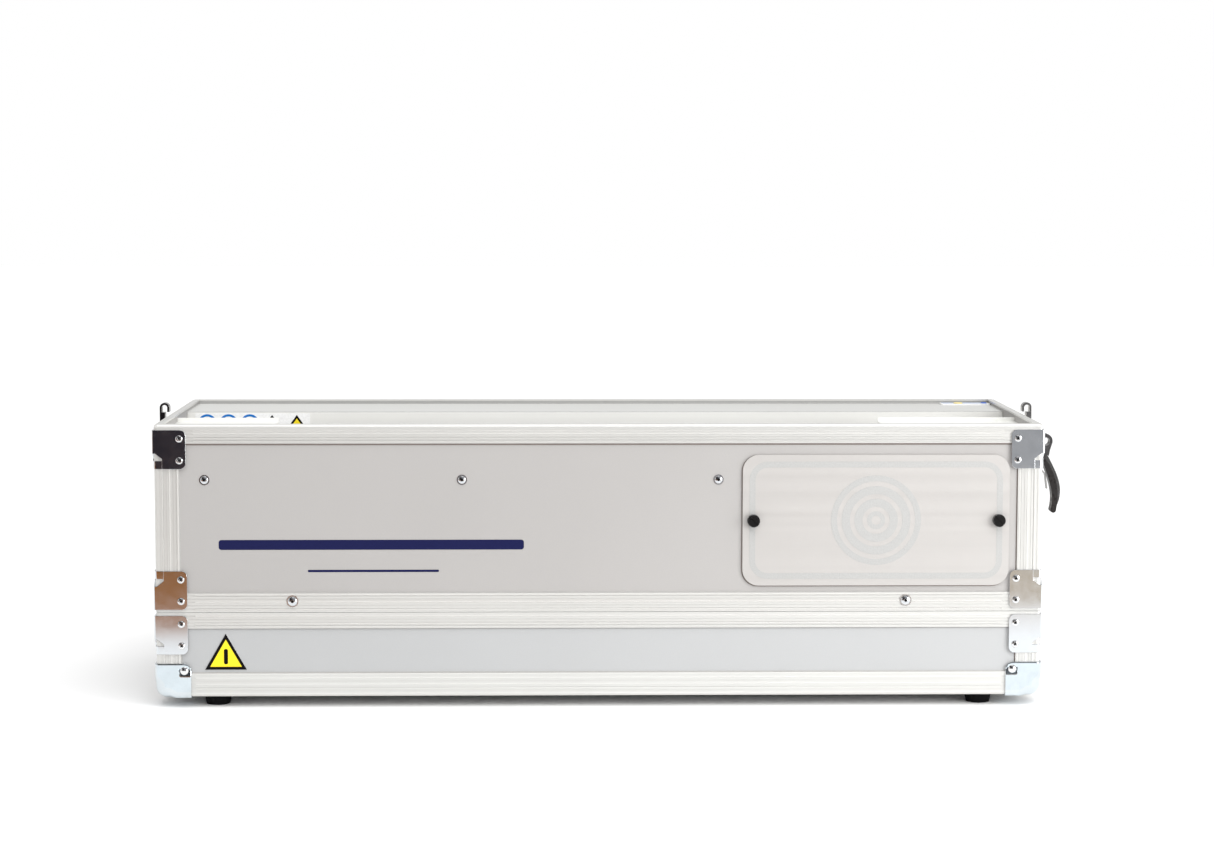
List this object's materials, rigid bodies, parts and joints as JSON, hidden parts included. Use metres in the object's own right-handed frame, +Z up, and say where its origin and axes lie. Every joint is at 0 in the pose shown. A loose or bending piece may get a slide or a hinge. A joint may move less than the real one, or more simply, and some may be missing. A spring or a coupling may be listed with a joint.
{
  "type": "skate sharpener",
  "caption": "Portable skate sharpener in a panelled aluminium-edged case: blade clamp with end lever, travelling grinding wheel on rods, service hatch, end latches and handles.",
  "frame": {"origin": "middle of the whole object's outline on the floor, under the rubber feet", "axes": "+X to the operator's right along the case, +Y away from the operator, +Z up"},
  "size_m": [1.0326, 0.353, 0.324],
  "materials": {
    "panel_grey": "satin grey laminate",
    "rail_alu": "satin anodised",
    "brace_zinc": "polished zinc plate",
    "rivet_zinc": "bright",
    "screw_steel": "bright",
    "foot_rubber": "matt",
    "label_film": "printed film",
    "deck_alu": "satin",
    "keypad_white": "satin",
    "key_yellow": "satin",
    "key_blue": "satin",
    "cover_grey": "satin",
    "screw_black": "satin",
    "clamp_alu": "machined",
    "jaw_steel": "ground",
    "lever_steel": "dark satin",
    "grip_black": "satin",
    "spring_steel": "bright",
    "rod_steel": "ground",
    "motor_grey": "satin",
    "belt_rubber": "matt",
    "carriage_alu": "machined",
    "abrasive": "gritty",
    "latch_chrome": "polished",
    "handle_black": "matt",
    "socket_black": "satin",
    "rocker_red": "gloss"
  },
  "bodies": {
    "case": {"base_floor": "panel_grey", "base_front_panel": "panel_grey", "base_rear_panel": "panel_grey", "base_end_panels": "panel_grey", "base_bottom_rails": "rail_alu", "base_top_rails": "rail_alu", "base_corner_posts": "rail_alu", "ball_corners": "brace_zinc", "base_corner_braces": "brace_zinc", "rubber_feet": "foot_rubber", "upper_front_panel": "panel_grey", "upper_rear_panel": "panel_grey", "upper_end_panels": "panel_grey", "upper_bottom_rails": "rail_alu", "upper_top_rails": "rail_alu", "upper_corner_posts": "rail_alu", "upper_corner_braces": "brace_zinc", "brace_rivets": "rivet_zinc", "case_screws": "screw_steel", "safety_labels": "label_film", "rear_deck": "deck_alu", "front_deck": "deck_alu", "front_left_deck": "deck_alu", "front_right_deck": "deck_alu", "control_panel": "keypad_white", "clamp_plate": "clamp_alu", "fixed_jaw": "jaw_steel", "lever_bracket": "screw_steel", "lever_catch_spring": "spring_steel", "guide_rods": "rod_steel", "rod_end_blocks": "clamp_alu", "drive_motor": "motor_grey", "drive_belt": "belt_rubber", "latch_bases": "latch_chrome", "handle_plates": "latch_chrome", "power_inlet": "socket_black", "dust_port": "motor_grey"},
    "cover": {"access_cover": "cover_grey"},
    "thumb_left": {"thumb_screw_left": "screw_black"},
    "thumb_right": {"thumb_screw_right": "screw_black"},
    "jaw": {"moving_jaw": "jaw_steel"},
    "cam_bar": {"clamp_bar": "jaw_steel"},
    "lever": {"clamp_lever": "lever_steel", "lever_grip": "grip_black"},
    "carriage": {"carriage": "carriage_alu"},
    "arm": {"grinding_arm": "carriage_alu", "grinding_motor": "motor_grey"},
    "wheel": {"grinding_wheel": "abrasive", "wheel_spindle": "rod_steel"},
    "drive_pulley": {"drive_pulley": "carriage_alu"},
    "idler_pulley": {"idler_pulley": "carriage_alu"},
    "latch_left": {"latch_lever_left": "latch_chrome"},
    "latch_right": {"latch_lever_right": "latch_chrome"},
    "hook_left": {"latch_hook_left": "latch_chrome"},
    "hook_right": {"latch_hook_right": "latch_chrome"},
    "handle_left": {"carry_handle_left": "handle_black"},
    "handle_right": {"carry_handle_right": "handle_black"},
    "start_button": {"start_button": "key_yellow"},
    "stop_button": {"stop_button": "key_blue"},
    "rocker": {"power_rocker": "rocker_red"}
  },
  "joints": [
    {"name": "lever_lift", "type": "hinge", "parent": "case", "child": "lever", "pos_m": [0.4939, -0.0577, 0.268], "axis": [0, -1, 0], "range_deg": [0, 48]},
    {"name": "cam_bar_slide", "type": "slide", "parent": "case", "child": "cam_bar", "axis": [-1, 0, 0], "range_m": [0, 0.01382]},
    {"name": "jaw_slide", "type": "slide", "parent": "case", "child": "jaw", "axis": [0, -1, 0], "range_m": [0, 0.00632]},
    {"name": "cover_pull", "type": "slide", "parent": "case", "child": "cover", "axis": [0, -1, 0], "range_m": [0, 0.03]},
    {"name": "thumb_left_turn", "type": "hinge", "parent": "cover", "child": "thumb_left", "pos_m": [0.158, -0.1697, 0.2077], "axis": [0, 1, 0], "range_deg": [0, 90]},
    {"name": "thumb_right_turn", "type": "hinge", "parent": "cover", "child": "thumb_right", "pos_m": [0.4288, -0.1697, 0.2077], "axis": [0, 1, 0], "range_deg": [0, 90]},
    {"name": "carriage_travel", "type": "slide", "parent": "case", "child": "carriage", "axis": [-1, 0, 0], "range_m": [0, 0.6]},
    {"name": "drive_pulley_turn", "type": "hinge", "parent": "case", "child": "drive_pulley", "pos_m": [-0.4411, 0.0023, 0.15], "axis": [0, -1, 0], "continuous": true},
    {"name": "idler_pulley_turn", "type": "hinge", "parent": "case", "child": "idler_pulley", "pos_m": [0.4189, 0.0023, 0.15], "axis": [0, -1, 0], "continuous": true},
    {"name": "arm_swing", "type": "hinge", "parent": "carriage", "child": "arm", "pos_m": [0.2129, 0.0133, 0.194], "axis": [0, -1, 0], "range_deg": [0, 12]},
    {"name": "wheel_spin", "type": "hinge", "parent": "arm", "child": "wheel", "pos_m": [0.2929, 0.0023, 0.2077], "axis": [0, 1, 0], "continuous": true},
    {"name": "latch_left_lift", "type": "hinge", "parent": "case", "child": "latch_left", "pos_m": [-0.5051, 0.0023, 0.258], "axis": [0, 1, 0], "range_deg": [0, 80]},
    {"name": "hook_left_turn", "type": "hinge", "parent": "latch_left", "child": "hook_left", "pos_m": [-0.51298, 0.0023, 0.25661], "axis": [0, 1, 0], "range_deg": [-80, 0]},
    {"name": "handle_left_swing", "type": "hinge", "parent": "case", "child": "handle_left", "pos_m": [-0.5056, 0.0023, 0.185], "axis": [0, 1, 0], "range_deg": [0, 90]},
    {"name": "latch_right_lift", "type": "hinge", "parent": "case", "child": "latch_right", "pos_m": [0.4829, 0.0023, 0.258], "axis": [0, -1, 0], "range_deg": [0, 80]},
    {"name": "hook_right_turn", "type": "hinge", "parent": "latch_right", "child": "hook_right", "pos_m": [0.49078, 0.0023, 0.25661], "axis": [0, -1, 0], "range_deg": [-80, 0]},
    {"name": "handle_right_swing", "type": "hinge", "parent": "case", "child": "handle_right", "pos_m": [0.4834, 0.0023, 0.185], "axis": [0, -1, 0], "range_deg": [0, 90]},
    {"name": "start_press", "type": "slide", "parent": "case", "child": "start_button", "axis": [0, 0, -1], "range_m": [0, 0.0008], "stiffness_N_per_m": 300, "springref_m": -0.001},
    {"name": "stop_press", "type": "slide", "parent": "case", "child": "stop_button", "axis": [0, 0, -1], "range_m": [0, 0.0008], "stiffness_N_per_m": 300, "springref_m": -0.001},
    {"name": "rocker_tilt", "type": "hinge", "parent": "case", "child": "rocker", "pos_m": [-0.3411, 0.1623, 0.064], "axis": [1, 0, 0], "range_deg": [-7, 7]}
  ],
  "couplings": [
    {"joint": "lever_lift", "follows": "cam_bar_slide", "rad_per_m": 60.606},
    {"joint": "jaw_slide", "follows": "cam_bar_slide", "ratio": 0.45},
    {"joint": "drive_pulley_turn", "follows": "carriage_travel", "rad_per_m": 77.519},
    {"joint": "idler_pulley_turn", "follows": "carriage_travel", "rad_per_m": 77.519},
    {"joint": "hook_left_turn", "follows": "latch_left_lift", "ratio": -1},
    {"joint": "hook_right_turn", "follows": "latch_right_lift", "ratio": -1}
  ]
}
